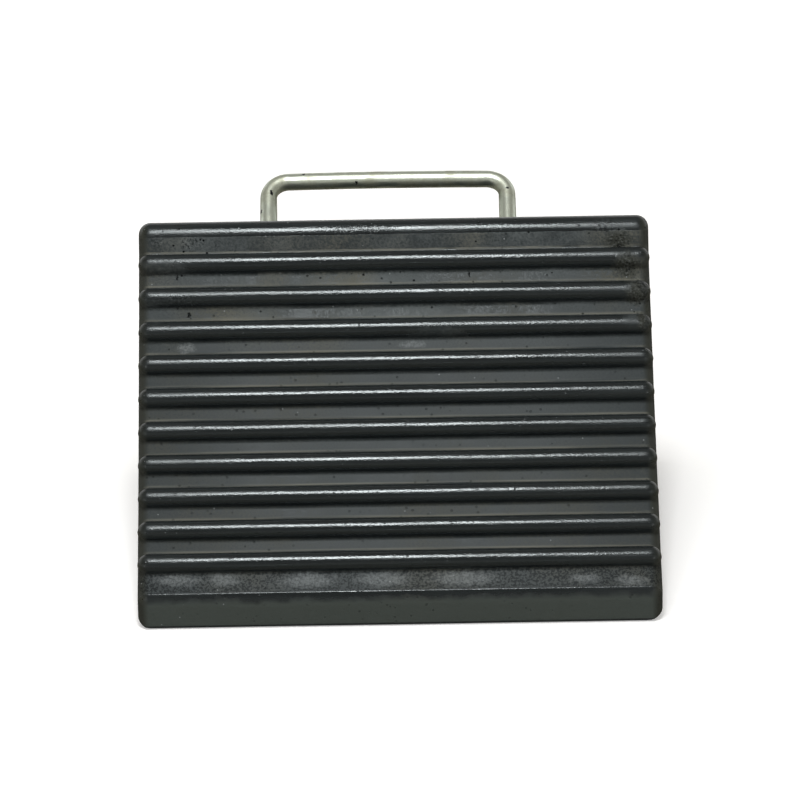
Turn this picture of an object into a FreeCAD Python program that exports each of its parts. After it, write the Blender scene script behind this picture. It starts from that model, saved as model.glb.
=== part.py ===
import FreeCAD, Part
import math
import os
import Sketcher

# Rubber wheel chock with a steel carry handle, in millimetres.
# The origin is the middle of the flat base, +Z is up, the ribbed ramp faces -Y and the handle is at +Y.

# Driving dimensions: name, value, what it is
SIZES = [
    ("base_width", 250.0, "width of the block across the wheel"),
    ("base_length", 200.0, "length of the flat base along the wheel's path"),
    ("block_height", 150.0, "height of the block at its nose"),
    ("toe_height", 16.0, "height of the upright toe face"),
    ("toe_edge_radius", 4.5, "rounding between the toe face and the ramp"),
    ("ramp_radius", 1050.0, "radius of the hollow ramp"),
    ("band_length", 8.0, "length of the steep band above the ramp"),
    ("band_slope", 67.0, "slope of the steep band, degrees from level"),
    ("nose_radius", 7.5, "radius of the rounded nose"),
    ("nose_setback", 151.5, "distance of the nose's centre behind the toe face"),
    ("valley_radius", 4.0, "rounding between the ramp and the steep band"),
    ("side_edge_radius", 6.0, "rounding of the block's side edges"),
    ("base_edge_radius", 2.0, "rounding of the edges of the base"),
    ("rib_radius", 5.3, "radius of each half-round rib"),
    ("rib_pitch", 18.0, "distance between ribs along the ramp"),
    ("top_rib_gap", 6.3, "distance of the top rib below the steep band"),
    ("toe_rib_gap", 12.0, "least distance of the lowest rib from the toe"),
    ("rod_diameter", 8.5, "diameter of the handle's rod"),
    ("leg_spacing", 119.0, "distance between the handle's two legs"),
    ("bend_radius", 10.5, "radius of the handle's bends at the rod's centre"),
    ("handle_reach", 58.0, "distance of the bar from the rear face, along the legs"),
    ("handle_height", 118.0, "height at which the legs leave the rear face"),
    ("handle_rise", 30.0, "slope of the legs, degrees from level"),
    ("handle_shift", 2.3, "distance of the handle from the middle, towards -X"),
    ("anchor_depth", 42.0, "depth of the anchor feet in the rubber, along the legs"),
    ("anchor_length", 12.0, "straight length of each anchor foot past its bend"),
]
SHEET_NAME = "Sizes"
PART_FOLDER = "parts"
NEAR = 1e-3

X_AXIS = FreeCAD.Vector(1, 0, 0)
Y_AXIS = FreeCAD.Vector(0, 1, 0)
Z_AXIS = FreeCAD.Vector(0, 0, 1)
RIGHT_ANGLE = 90.0
TO_RIGHT = FreeCAD.Rotation(Y_AXIS, RIGHT_ANGLE)
TO_LEFT = FreeCAD.Rotation(Y_AXIS, -RIGHT_ANGLE)
TO_REAR = FreeCAD.Rotation(X_AXIS, -RIGHT_ANGLE)

# Places on a sketch's line or arc, and the sketch's own origin and level axis
START, END, MIDDLE = range(1, 4)
SKETCH_AXIS = -1
ORIGIN = (SKETCH_AXIS, START)

doc = FreeCAD.newDocument("wheel_chock")


def fill_sheet():
    """Put each driving dimension in a row of its own: name, value, note."""
    sheet = doc.addObject("Spreadsheet::Sheet", SHEET_NAME)
    for row, (name, value, note) in enumerate(SIZES, start=1):
        sheet.set(f"A{row}", name)
        sheet.set(f"B{row}", str(value))
        sheet.set(f"C{row}", note)
        sheet.setAlias(f"B{row}", name)
    doc.recompute()
    return sheet


sheet = fill_sheet()


def size(name):
    """Value of a driving dimension."""
    return float(sheet.get(name))


def bind(thing, **formulas):
    """Bind properties of an object to formulas on the sheet's cells."""
    for path, formula in formulas.items():
        thing.setExpression(path.replace("__", "."), formula)


def sine(angle):
    return math.sin(math.radians(angle))


def cosine(angle):
    return math.cos(math.radians(angle))


# Side profile of the block, in the YZ plane: every point follows from the sizes

def nose_centre():
    behind_middle = size("nose_setback") - size("base_length") / 2
    return FreeCAD.Vector(behind_middle, size("block_height") - size("nose_radius"))


def band_top():
    slope = size("band_slope")
    return nose_centre() - FreeCAD.Vector(sine(slope), -cosine(slope)) * size("nose_radius")


def ramp_top():
    slope = size("band_slope")
    return band_top() - FreeCAD.Vector(cosine(slope), sine(slope)) * size("band_length")


def toe_foot():
    return FreeCAD.Vector(-size("base_length") / 2, 0)


def toe_top():
    return FreeCAD.Vector(-size("base_length") / 2, size("toe_height"))


def ramp_centre():
    """Centre of the hollow ramp's circle, above and ahead of the ramp."""
    chord = ramp_top() - toe_top()
    middle = toe_top() + chord / 2
    depth = math.sqrt(size("ramp_radius") ** 2 - (chord.Length / 2) ** 2)
    return middle + FreeCAD.Vector(-chord.y, chord.x).normalize() * depth


def rear_foot():
    return FreeCAD.Vector(size("base_length") / 2, 0)


def rear_top():
    """Point where the rear face touches the nose's circle."""
    reach = rear_foot() - nose_centre()
    bearing = math.atan2(reach.y, reach.x) + math.acos(size("nose_radius") / reach.Length)
    return nose_centre() + FreeCAD.Vector(math.cos(bearing), math.sin(bearing)) * size("nose_radius")


def arc(centre, start, end):
    """Arc from start to end, anticlockwise about centre."""
    first = start - centre
    last = end - centre
    circle = Part.Circle(centre, Z_AXIS, first.Length)
    return Part.ArcOfCircle(circle, math.atan2(first.y, first.x), math.atan2(last.y, last.x))


def sketch_on(body, plane_role, name):
    """Sketch on one of the origin planes of its own body."""
    sketch = body.newObject("Sketcher::SketchObject", name)
    plane = [feature for feature in body.Origin.OriginFeatures if feature.Role == plane_role][0]
    sketch.AttachmentSupport = [(plane, "")]
    sketch.MapMode = "FlatFace"
    return sketch


def constrain(sketch, name, formula, *constraint):
    """Add a constraint, name it and bind it to a formula."""
    index = sketch.addConstraint(Sketcher.Constraint(*constraint))
    sketch.renameConstraint(index, name)
    sketch.setExpression(f"Constraints.{name}", formula)


def measure(sketch, name, *constraint):
    """Add a named constraint that only measures, for formulas elsewhere."""
    index = sketch.addConstraint(Sketcher.Constraint(*constraint))
    sketch.setDriving(index, False)
    sketch.renameConstraint(index, name)


def draw_profile(body):
    """Side profile: base, toe face, hollow ramp, steep band, nose and rear face."""
    sketch = sketch_on(body, "YZ_Plane", "BlockProfile")
    base = sketch.addGeometry(Part.LineSegment(toe_foot(), rear_foot()))
    toe = sketch.addGeometry(Part.LineSegment(toe_foot(), toe_top()))
    ramp = sketch.addGeometry(arc(ramp_centre(), toe_top(), ramp_top()))
    band = sketch.addGeometry(Part.LineSegment(ramp_top(), band_top()))
    nose = sketch.addGeometry(arc(nose_centre(), rear_top(), band_top()))
    rear = sketch.addGeometry(Part.LineSegment(rear_foot(), rear_top()))
    sketch.addConstraint([
        Sketcher.Constraint("Coincident", base, START, toe, START),
        Sketcher.Constraint("Coincident", toe, END, ramp, START),
        Sketcher.Constraint("Coincident", ramp, END, band, START),
        Sketcher.Constraint("Tangent", band, END, nose, END),
        Sketcher.Constraint("Tangent", rear, END, nose, START),
        Sketcher.Constraint("Coincident", rear, START, base, END),
        Sketcher.Constraint("Horizontal", base),
        Sketcher.Constraint("Vertical", toe),
        Sketcher.Constraint("PointOnObject", base, START, SKETCH_AXIS),
    ])
    length, toe_height, setback = size("base_length"), size("toe_height"), size("nose_setback")
    slope, nose_height = math.radians(size("band_slope")), nose_centre().y
    constrain(sketch, "toe_place", "Sizes.base_length / 2", "DistanceX", base, START, *ORIGIN, length / 2)
    constrain(sketch, "base_length", "Sizes.base_length", "DistanceX", base, START, base, END, length)
    constrain(sketch, "toe_height", "Sizes.toe_height", "DistanceY", toe, START, toe, END, toe_height)
    constrain(sketch, "ramp_radius", "Sizes.ramp_radius", "Radius", ramp, size("ramp_radius"))
    constrain(sketch, "band_length", "Sizes.band_length", "Distance", band, size("band_length"))
    constrain(sketch, "band_slope", "Sizes.band_slope", "Angle", band, slope)
    constrain(sketch, "nose_radius", "Sizes.nose_radius", "Radius", nose, size("nose_radius"))
    constrain(sketch, "nose_place", "Sizes.nose_setback", "DistanceX", base, START, nose, MIDDLE, setback)
    constrain(sketch, "nose_height", "Sizes.block_height - Sizes.nose_radius",
              "DistanceY", base, START, nose, MIDDLE, nose_height)
    measure(sketch, "centre_ahead", "DistanceX", ramp, MIDDLE, *ORIGIN, -ramp_centre().x)
    measure(sketch, "centre_height", "DistanceY", *ORIGIN, ramp, MIDDLE, ramp_centre().y)
    measure(sketch, "top_run", "DistanceX", ramp, MIDDLE, ramp, END, ramp_top().x - ramp_centre().x)
    measure(sketch, "top_drop", "DistanceY", ramp, END, ramp, MIDDLE, ramp_centre().y - ramp_top().y)
    measure(sketch, "rear_run", "DistanceX", rear, END, rear, START, rear_foot().x - rear_top().x)
    measure(sketch, "rear_rise", "DistanceY", rear, START, rear, END, rear_top().y)
    doc.recompute()
    return sketch


def round_edges(body, before, name, radius, is_edge):
    """Round the edges of the last feature that the test picks by their boxes."""
    numbered = enumerate(before.Shape.Edges, start=1)
    edges = [f"Edge{number}" for number, edge in numbered if is_edge(edge.BoundBox)]
    rounding = body.newObject("PartDesign::Fillet", name)
    rounding.Base = (before, edges)
    rounding.setExpression("Radius", f"Sizes.{radius}")
    doc.recompute()
    return rounding


def make_wedge():
    """The block without its ribs: the side profile across the full width, with its edges rounded."""
    body = doc.addObject("PartDesign::Body", "Wedge")
    profile = draw_profile(body)
    pad = body.newObject("PartDesign::Pad", "FullWidth")
    pad.Profile = profile
    pad.SideType = "Symmetric"
    pad.setExpression("Length", "Sizes.base_width")
    doc.recompute()
    side = size("base_width") / 2

    def lies_across(box, point):
        along = abs(box.YMin - point.x) < NEAR and abs(box.YMax - point.x) < NEAR
        return along and abs(box.ZMin - point.y) < NEAR and box.XLength > NEAR

    def lies_on_side(box):
        return box.XLength < NEAR and abs(abs(box.XMin) - side) < NEAR and box.ZMax > NEAR

    def is_valley(box):
        return lies_across(box, ramp_top())

    def is_toe_edge(box):
        return lies_across(box, toe_top())

    def is_base_edge(box):
        return box.ZMax < NEAR

    valley = round_edges(body, pad, "ValleyRounding", "valley_radius", is_valley)
    sides = round_edges(body, valley, "SideRounding", "side_edge_radius", lies_on_side)
    toe = round_edges(body, sides, "ToeRounding", "toe_edge_radius", is_toe_edge)
    round_edges(body, toe, "BaseRounding", "base_edge_radius", is_base_edge)
    return body


def rib_count():
    """As many ribs as the ramp's length holds between its top and toe gaps."""
    centre = ramp_centre()
    top = ramp_top() - centre
    bottom = toe_top() - centre
    ramp_length = size("ramp_radius") * top.getAngle(bottom)
    return math.floor((ramp_length - size("top_rib_gap") - size("toe_rib_gap")) / size("rib_pitch")) + 1


def make_rib(number):
    """One round rib across the ramp, half sunk in it: a bar whose half-ball ends meet the block's sides."""
    along = f"(Sizes.top_rib_gap + {number} * Sizes.rib_pitch) / Sizes.ramp_radius * 1 rad"
    slope = f"atan(BlockProfile.Constraints.top_run / BlockProfile.Constraints.top_drop) - {along}"
    place_y = f"Sizes.ramp_radius * 1 mm * sin({slope}) - BlockProfile.Constraints.centre_ahead"
    place_z = f"BlockProfile.Constraints.centre_height - Sizes.ramp_radius * 1 mm * cos({slope})"
    half = "(Sizes.base_width / 2 - Sizes.rib_radius)"

    bar = doc.addObject("Part::Cylinder", f"RibBar{number}")
    bar.Placement = FreeCAD.Placement(FreeCAD.Vector(), TO_RIGHT)
    bind(bar, Radius="Sizes.rib_radius", Height=f"2 * {half}", Placement__Base__x=f"-{half}")
    pieces = [bar]
    for name, turn, sign in (("Right", TO_RIGHT, ""), ("Left", TO_LEFT, "-")):
        ball = doc.addObject("Part::Sphere", f"RibEnd{name}{number}")
        ball.Angle1 = 0
        ball.Placement = FreeCAD.Placement(FreeCAD.Vector(), turn)
        bind(ball, Radius="Sizes.rib_radius", Placement__Base__x=f"{sign}{half}")
        pieces.append(ball)
    for piece in pieces:
        bind(piece, Placement__Base__y=place_y, Placement__Base__z=place_z)
    return fuse(f"Rib{number}", pieces)


def fuse(name, pieces):
    whole = doc.addObject("Part::MultiFuse", name)
    whole.Shapes = pieces
    whole.Refine = True
    return whole


def make_rod_run(name, turn, length, place_x, place_y):
    """A straight run of the handle's rod, in the plane of the handle."""
    run = doc.addObject("Part::Cylinder", name)
    run.Placement = FreeCAD.Placement(FreeCAD.Vector(), turn)
    bind(run, Radius="Sizes.rod_diameter / 2", Height=length)
    bind(run, Placement__Base__x=place_x, Placement__Base__y=place_y)
    return run


def make_rod_bend(name, first_angle, place_x, place_y):
    """A quarter bend of the handle's rod, anticlockwise from its first angle."""
    bend = doc.addObject("Part::Torus", name)
    bend.Angle3 = RIGHT_ANGLE
    bend.Placement = FreeCAD.Placement(FreeCAD.Vector(), FreeCAD.Rotation(Z_AXIS, first_angle))
    bind(bend, Radius1="Sizes.bend_radius", Radius2="Sizes.rod_diameter / 2")
    bind(bend, Placement__Base__x=place_x, Placement__Base__y=place_y)
    return bend


def make_handle():
    """Carry handle: one bent rod, drawn flat with its legs along +Y from where they leave the rubber."""
    leg = "Sizes.leg_spacing / 2"
    inner = "(Sizes.leg_spacing / 2 - Sizes.bend_radius)"
    outer = "(Sizes.leg_spacing / 2 + Sizes.bend_radius)"
    bend_up = "Sizes.handle_reach - Sizes.bend_radius"
    bend_down = "Sizes.bend_radius - Sizes.anchor_depth"
    foot = "Sizes.anchor_length"
    leg_length = "Sizes.handle_reach + Sizes.anchor_depth - 2 * Sizes.bend_radius"
    pieces = [
        make_rod_run("Bar", TO_RIGHT, f"2 * {inner}", f"-{inner}", "Sizes.handle_reach"),
        make_rod_run("LeftLeg", TO_REAR, leg_length, f"-{leg}", bend_down),
        make_rod_run("RightLeg", TO_REAR, leg_length, leg, bend_down),
        make_rod_run("LeftFoot", TO_LEFT, foot, f"-{outer}", "-Sizes.anchor_depth"),
        make_rod_run("RightFoot", TO_RIGHT, foot, outer, "-Sizes.anchor_depth"),
        make_rod_bend("RightTopBend", 0, inner, bend_up),
        make_rod_bend("LeftTopBend", RIGHT_ANGLE, f"-{inner}", bend_up),
        make_rod_bend("RightFootBend", 2 * RIGHT_ANGLE, outer, bend_down),
        make_rod_bend("LeftFootBend", 3 * RIGHT_ANGLE, f"-{outer}", bend_down),
    ]
    handle = fuse("Handle", pieces)
    handle.Placement = FreeCAD.Placement(FreeCAD.Vector(), FreeCAD.Rotation(X_AXIS, size("handle_rise")))
    lean = "BlockProfile.Constraints.rear_run / BlockProfile.Constraints.rear_rise"
    bind(handle, Placement__Rotation__Angle="Sizes.handle_rise * 1 deg")
    bind(handle, Placement__Base__x="-Sizes.handle_shift", Placement__Base__z="Sizes.handle_height")
    bind(handle, Placement__Base__y=f"(Sizes.base_length / 2 - Sizes.handle_height * {lean}) * 1 mm")
    handle.Label = "carry_handle"
    return handle


def make_block(wedge, handle):
    """The moulded block: wedge and ribs in one, cast round the legs and feet of the handle."""
    ribs = [make_rib(number) for number in range(rib_count())]
    moulding = fuse("Moulding", [wedge] + ribs)
    block = doc.addObject("Part::Cut", "Block")
    block.Base = moulding
    block.Tool = handle
    block.Label = "rubber_block"
    return block


def check(parts):
    """Stop if any object failed, or if a part is empty, invalid or more than one solid."""
    for thing in doc.Objects:
        if "Invalid" in thing.State or "Error" in thing.State:
            raise RuntimeError(f"{thing.Name} failed: {thing.State}")
    for part in parts:
        shape = part.Shape
        if shape.isNull() or not shape.isValid() or len(shape.Solids) != 1:
            raise RuntimeError(f"{part.Label} is not one valid solid")


def write(parts):
    os.makedirs(PART_FOLDER, exist_ok=True)
    for part in parts:
        part.Shape.exportStep(os.path.join(PART_FOLDER, f"{part.Label}.step"))
        box = part.Shape.BoundBox
        print(f"{part.Label}: {part.Shape.Volume / 1000:.1f} cm3, x {box.XMin:.1f} {box.XMax:.1f}, "
              f"y {box.YMin:.1f} {box.YMax:.1f}, z {box.ZMin:.1f} {box.ZMax:.1f}")


def main():
    wedge = make_wedge()
    handle = make_handle()
    block = make_block(wedge, handle)
    doc.recompute()
    parts = [block, handle]
    check(parts)
    write(parts)


main()
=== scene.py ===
import math
from types import SimpleNamespace

import bmesh
import bpy
import numpy as np
from bpy.props import FloatProperty, FloatVectorProperty, PointerProperty
from mathutils import Matrix, Vector


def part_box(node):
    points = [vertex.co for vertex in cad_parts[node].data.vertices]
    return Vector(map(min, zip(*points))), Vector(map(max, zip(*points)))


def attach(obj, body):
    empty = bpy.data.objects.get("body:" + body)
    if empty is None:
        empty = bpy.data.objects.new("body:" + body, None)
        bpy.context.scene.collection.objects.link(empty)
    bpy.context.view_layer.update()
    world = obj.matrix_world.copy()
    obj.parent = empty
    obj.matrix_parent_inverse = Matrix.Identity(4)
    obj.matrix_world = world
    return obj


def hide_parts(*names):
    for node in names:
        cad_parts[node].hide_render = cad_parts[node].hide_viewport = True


# A moulded rubber wheel chock with a bent steel rod as its carry handle.
# Lengths are metres: +Z is up, the ribbed ramp faces -Y, the handle is at +Y, the base stands on z = 0.

bl_info = {
    "name": "Rubber wheel chock",
    "version": (1, 0, 0),
    "blender": (4, 5, 0),
    "location": "3D Viewport > Sidebar > Chock",
    "description": "Builds the looks of a ribbed rubber wheel chock with a steel carry handle",
    "category": "Object",
}

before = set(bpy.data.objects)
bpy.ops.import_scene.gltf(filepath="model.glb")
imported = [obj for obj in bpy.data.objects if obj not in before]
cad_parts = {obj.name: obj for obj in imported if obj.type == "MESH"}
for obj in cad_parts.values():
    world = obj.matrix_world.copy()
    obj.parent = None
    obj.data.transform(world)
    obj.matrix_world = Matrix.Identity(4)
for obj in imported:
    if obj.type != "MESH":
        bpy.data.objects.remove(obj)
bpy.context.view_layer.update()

MM = 0.001
HALF_TURN = math.pi
QUARTER_TURN = math.pi / 2
FAR_AWAY = 1.0
BLOCK_LOW, BLOCK_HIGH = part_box("rubber_block")

# Steps of the block's grid along the profile: the ramp, tight and wide roundings, the nose, rear and base
RAMP_STEPS = 340
VALLEY_STEPS = 6
EDGE_STEPS = 12
NOSE_STEPS = 30
REAR_STEPS = 60
BASE_STEPS = 36
FINE_STEPS = 40

# Steps round each side edge and across the block, and the rings and middle of its side faces as shares
TURN_STEPS = 12
ACROSS_STEPS = 150
RING_SHARES = np.array([0, 0.25, 0.5, 0.72, 0.88])
POLE_SHARES = (0.1, 0.3)
HALVINGS = 30
WELD_DISTANCE = 0.001 * MM

# How far each stretch of the front is rubbed smooth
TOE_POLISH = 0.9
VALLEY_POLISH = 0.4
BAND_POLISH = 0.2
NOSE_POLISH = 1

# Random skin: lattice, cells of its slow waves and of the ribs' wear, and their seeds
LATTICE_SIZE = 32
WAVE_CELL = (55 * MM, 14 * MM, 14 * MM)
WEAR_CELL = (16 * MM, 6 * MM, 6 * MM)
WAVE_SEED = 3
WEAR_SEED = 8

# Steps of the rod's grid: round it, along each straight run and round each bend
ROD_STEPS = 48
RUN_STEPS = 40
BAR_STEPS = 120
BEND_STEPS = 16
FOOT_STEPS = 4

# A bend is this much oval, and the oval eases in over so many steps
OVAL_SHARE = 0.03
EASE_STEPS = 4

# The rubber's gloss is tinted a little green and blue, a painted tint of the bluish light it reflects
GREEN_GLOSS = (0.92, 0.99, 1.0)

# Heights at which the front's finish changes: the toe's painted light, the scuffed strip, dust and wear above
TOE_TOP = 16 * MM
TOE_FADE = 4 * MM
STRIP_FOOT = 16.5 * MM
STRIP_FOOT_FADE = 1.5 * MM
STRIP_TOP = 26 * MM
STRIP_FADE = 2 * MM
DUST_STARTS = 95 * MM
DUST_FULL = 125 * MM
WORN_STARTS = 104 * MM
WORN_FULL = 112 * MM

# Distances from the middle between which the skin turns duller
DULL_STARTS = 70 * MM
DULL_FULL = 124 * MM

# Marks of use on the front, each a centre and half sizes in millimetres
TORN_SKIN = (
    ((110, 42.5, 140.5), (8, 5, 7)),
    ((113.5, 33, 131), (8, 8, 8)),
    ((117.5, 22, 121), (7, 8, 8)),
    ((120, 10, 112), (4, 7, 7)),
)
PITTED_SKIN = (
    ((-18, 46, 147.5), (22, 3, 2.5)),
    ((-99, 43.4, 142.5), (7, 3, 5)),
    ((-116, 43.7, 143), (4, 3, 4)),
    ((-108, 24, 121), (20, 7, 5)),
    ((103, 46.5, 147.5), (9, 4, 4)),
    ((119, 24, 124), (5, 6, 8)),
)
DULL_SKIN = (
    ((-115, 30, 131), (17, 8, 8)),
    ((-118, 16, 116), (10, 7, 7)),
    ((118, 30, 130), (12, 8, 8)),
    ((117, 12, 112), (8, 8, 8)),
    ((20, 5, 107), (16, 6, 5)),
)
SETTLED_DUST = (
    ((2, 16, 112), (38, 8, 6)),
    ((-12, 28.5, 125.5), (34, 6, 5)),
    ((-72, 16, 112), (22, 7, 5)),
)
GOUGES = (
    ((-100.3, 18, 114.6), (1.5, 3, 2)),
    ((-105.8, 32.4, 128.8), (0.7, 3, 2.5)),
    ((36.7, 31.7, 128.1), (0.5, 3, 2.4)),
    ((109.8, 41, 137.6), (1.6, 2.5, 1.8)),
)
SCUFFS = (
    ((-106, -92, 22), (14, 5, 3.5)),
    ((-84, -92, 21.5), (9, 5, 4)),
    ((-44, -93, 21), (17, 5, 4.5)),
    ((-8, -93, 21), (16, 5, 4)),
    ((30, -93, 21), (20, 5, 4)),
    ((88, -94, 20.5), (9, 4, 2.5)),
    ((110, -95, 19.5), (9, 4, 3.5)),
    ((-101, 5, 102), (6, 4, 3)),
    ((8, 5, 102.5), (8, 3, 2)),
)

# The floor: corners of its rim, its drop under the base, its colour and its colour in reflections
FLOOR_STEPS = 96
FLOOR_DROP = 0.1 * MM
PAPER = "e6e6e6"
PAPER_MIRRORED = "85837a"

# The room: its light and tint, and its strength in reflections at the horizon and higher up
ROOM_LIGHT = 0.45
ROOM_TINT = (1.0, 0.97, 0.9, 1)
HORIZON_MIRRORED = 0.6
CEILING_MIRRORED = 0.26
FAR_CLIP = 100

# Nicks in the rod's plating, each a centre and half sizes in millimetres
NICKS = (
    ((-60.3, 105.9, 145.5), (1, 2, 3)),
    ((-17.9, 112.7, 147.6), (0.8, 1.5, 1.2)),
    ((-65.6, 97.4, 138.6), (1, 1.6, 2)),
    ((-44.3, 115.8, 151.2), (1.3, 1.2, 0.6)),
    ((57.4, 106.2, 146), (1.4, 1.2, 0.6)),
    ((60.5, 102.8, 143.2), (0.6, 1.2, 1.2)),
)


def linear(code):
    """An sRGB hex colour as linear red, green and blue."""
    parts = np.array([int(code[place:place + 2], 16) for place in (0, 2, 4)]) / 255
    return tuple(np.where(parts <= 0.04045, parts / 12.92, ((parts + 0.055) / 1.055) ** 2.4))


def cells_per_metre(millimetres):
    """Scale of a pattern whose cells have that real size."""
    return 1 / (millimetres * MM)


class ChockBlockSizes(bpy.types.PropertyGroup):
    """Sizes of the moulded block."""

    width: FloatProperty(
        name="Width", description="Width of the block across the wheel",
        default=BLOCK_HIGH.x - BLOCK_LOW.x, unit="LENGTH")
    length: FloatProperty(
        name="Length", description="Length of the flat base along the wheel's path",
        default=-2 * BLOCK_LOW.y, unit="LENGTH")
    height: FloatProperty(
        name="Height", description="Height of the block at its nose",
        default=BLOCK_HIGH.z, unit="LENGTH")
    toe_height: FloatProperty(
        name="Toe height", description="Height of the upright toe face",
        default=16 * MM, unit="LENGTH")
    toe_crease: FloatProperty(
        name="Toe crease", description="Tight rounding where the ramp turns down to the toe",
        default=1.5 * MM, unit="LENGTH")
    toe_sweep: FloatProperty(
        name="Toe sweep", description="Wide rounding between the crease and the toe face",
        default=12 * MM, unit="LENGTH")
    toe_break: FloatProperty(
        name="Toe break", description="Elevation of the surface's normal where crease and sweep meet",
        default=math.radians(32), unit="ROTATION")
    ramp_radius: FloatProperty(
        name="Ramp radius", description="Radius of the hollow ramp",
        default=1050 * MM, unit="LENGTH")
    band_length: FloatProperty(
        name="Band length", description="Length of the steep band above the ramp",
        default=8 * MM, unit="LENGTH")
    band_slope: FloatProperty(
        name="Band slope", description="Slope of the steep band from level",
        default=math.radians(67), unit="ROTATION")
    nose_radius: FloatProperty(
        name="Nose radius", description="Radius of the rounded nose",
        default=7.5 * MM, unit="LENGTH")
    nose_setback: FloatProperty(
        name="Nose setback", description="Distance of the nose's centre behind the toe face",
        default=151.5 * MM, unit="LENGTH")
    valley_radius: FloatProperty(
        name="Valley radius", description="Rounding between the ramp and the steep band",
        default=4 * MM, unit="LENGTH")
    side_radius: FloatProperty(
        name="Side edge", description="Rounding of the block's side edges",
        default=6 * MM, unit="LENGTH")
    base_radius: FloatProperty(
        name="Base edge", description="Rounding of the edges of the base",
        default=2 * MM, unit="LENGTH")
    rib_radius: FloatProperty(
        name="Rib radius", description="Radius of each half-round rib",
        default=5.3 * MM, unit="LENGTH")
    rib_pitch: FloatProperty(
        name="Rib pitch", description="Distance between ribs along the ramp",
        default=18 * MM, unit="LENGTH")
    rib_foot: FloatProperty(
        name="Rib foot", description="Reach of the hollow rounding at the foot of each rib",
        default=1.4 * MM, unit="LENGTH")
    top_rib_gap: FloatProperty(
        name="Top gap", description="Distance of the top rib below the steep band",
        default=6.3 * MM, unit="LENGTH")
    toe_rib_gap: FloatProperty(
        name="Toe gap", description="Least distance of the lowest rib from the toe",
        default=12 * MM, unit="LENGTH")
    # The line above each rib is pale dust with a painted glint along the rib's upper foot
    ledge_reach: FloatProperty(
        name="Ledge reach", description="Distance of the line of dust above each rib from the rib",
        default=1.1 * MM, unit="LENGTH")
    ledge_width: FloatProperty(
        name="Ledge width", description="Half width of the line of dust above each rib",
        default=0.6 * MM, unit="LENGTH")
    unevenness: FloatProperty(
        name="Unevenness", description="How far the moulded skin strays from its true form",
        default=0.14 * MM, unit="LENGTH", precision=5)
    left_corner: FloatProperty(
        name="Left corner", description="Width of the rounding of the toe's left lower corner",
        default=8 * MM, unit="LENGTH")
    right_corner: FloatProperty(
        name="Right corner", description="Width of the rounding of the toe's worn right lower corner",
        default=10.5 * MM, unit="LENGTH")
    corner_height: FloatProperty(
        name="Corner height", description="Height of the rounding of the toe's lower corners",
        default=6.3 * MM, unit="LENGTH")
    corner_fade: FloatProperty(
        name="Corner fade", description="Distance along the base over which the corners' rounding ends",
        default=30 * MM, unit="LENGTH")


class ChockHandleSizes(bpy.types.PropertyGroup):
    """Sizes of the carry handle."""

    rod_diameter: FloatProperty(
        name="Rod diameter", description="Diameter of the bent rod",
        default=8.5 * MM, unit="LENGTH")
    leg_spacing: FloatProperty(
        name="Leg spacing", description="Distance between the two legs",
        default=119 * MM, unit="LENGTH")
    bend_radius: FloatProperty(
        name="Bend radius", description="Radius of the bends at the rod's centre",
        default=10.5 * MM, unit="LENGTH")
    reach: FloatProperty(
        name="Reach", description="Distance of the bar from the rear face, along the legs",
        default=58 * MM, unit="LENGTH")
    exit_height: FloatProperty(
        name="Exit height", description="Height at which the legs leave the rear face",
        default=118 * MM, unit="LENGTH")
    rise: FloatProperty(
        name="Rise", description="Slope of the legs from level",
        default=math.radians(30), unit="ROTATION")
    shift: FloatProperty(
        name="Shift", description="Distance of the handle from the middle, towards -X",
        default=2.3 * MM, unit="LENGTH")
    anchor_depth: FloatProperty(
        name="Anchor depth", description="Depth of the anchor feet in the rubber, along the legs",
        default=42 * MM, unit="LENGTH")
    anchor_length: FloatProperty(
        name="Anchor length", description="Straight length of each anchor foot past its bend",
        default=12 * MM, unit="LENGTH")
    bow: FloatProperty(
        name="Bow", description="How far the bar bows outward in its middle",
        default=0.5 * MM, unit="LENGTH", precision=4)


class ChockColours(bpy.types.PropertyGroup):
    """Colours of the finishes, as linear values of the sRGB codes."""

    # The ribs' black is also painted into pits, gouges and cracks as their shade
    rib_rubber_and_hole_shade: FloatVectorProperty(
        name="Ribs", description="Clean polished rubber of the ribs",
        default=linear("0e1011"), subtype="COLOR")
    flat_rubber: FloatVectorProperty(
        name="Flats", description="Matt rubber between the ribs",
        default=linear("1b2123"), subtype="COLOR")
    dust: FloatVectorProperty(
        name="Dust", description="Pale mould dust in the flats",
        default=linear("474c4d"), subtype="COLOR")
    soil: FloatVectorProperty(
        name="Soil", description="Brown dust that has settled in places",
        default=linear("504f45"), subtype="COLOR")
    # Pale tan line above each rib: dust and a painted glint
    ledge_dust_and_glint: FloatVectorProperty(
        name="Ledge dust", description="Tan dust in the corner above each rib",
        default=linear("7d7b6e"), subtype="COLOR")
    # Painted light: the upright toe is painted lighter than the flats, for the floor's light on it
    lit_toe_rubber: FloatVectorProperty(
        name="Toe", description="Greenish grey bloom of the upright toe face",
        default=linear("393f3b"), subtype="COLOR")
    # Painted shade: the dark olive of the rounded side edges and the sides; torn skin takes it too
    edge_shade_and_torn_rubber: FloatVectorProperty(
        name="Edges", description="Olive brown bloom of the rounded edges",
        default=linear("25261e"), subtype="COLOR")
    scuff: FloatVectorProperty(
        name="Scuffs", description="Whitened rubber where the toe is scuffed",
        default=linear("8b9092"), subtype="COLOR")
    zinc: FloatVectorProperty(
        name="Zinc", description="Bright zinc plating",
        default=linear("dfe6d8"), subtype="COLOR")
    nick: FloatVectorProperty(
        name="Nicks", description="Dark steel where the plating is knocked off",
        default=linear("2b2c30"), subtype="COLOR")
    worn_zinc: FloatVectorProperty(
        name="Worn zinc", description="Plating dulled by handling",
        default=linear("b9bcab"), subtype="COLOR")


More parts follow.
